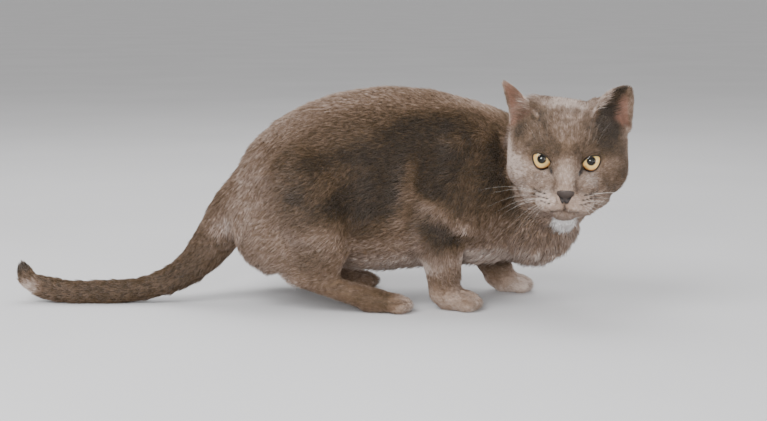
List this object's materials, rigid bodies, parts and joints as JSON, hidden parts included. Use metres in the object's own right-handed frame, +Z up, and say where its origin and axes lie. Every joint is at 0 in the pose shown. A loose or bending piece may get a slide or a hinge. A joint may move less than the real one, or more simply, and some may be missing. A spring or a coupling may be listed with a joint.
{
  "type": "short-haired grey cat, life-size still model",
  "caption": "Life-size still model of a short-haired grey cat, crouching with its head turned to its right and its tail laid out behind it.",
  "frame": {"origin": "middle of the footprint box, on the floor", "axes": "+X forwards along the trunk, +Y towards the cat's left, +Z up"},
  "size_m": [0.5154, 0.1856, 0.1907],
  "materials": {
    "coat": "short dense plush hair, grey-brown with paler tips",
    "nose_leather": "dark, finely grained, slightly moist",
    "eye": "clear cornea over an amber iris and a round black pupil",
    "whisker": "smooth pale bristle"
  },
  "bodies": {
    "root": {"head": "coat", "ear_right": "coat", "ear_left": "coat", "neck": "coat", "chest": "coat", "loins": "coat", "tail_base": "coat", "tail_middle": "coat", "tail_tip": "coat", "upper_arm_right": "coat", "upper_arm_left": "coat", "forearm_right": "coat", "forearm_left": "coat", "forepaw_right": "coat", "forepaw_left": "coat", "thigh_right": "coat", "thigh_left": "coat", "lower_leg_right": "coat", "lower_leg_left": "coat", "hind_foot_right": "coat", "hind_foot_left": "coat", "nose": "nose_leather", "eye_right": "eye", "eye_left": "eye"}
  },
  "joints": []
}
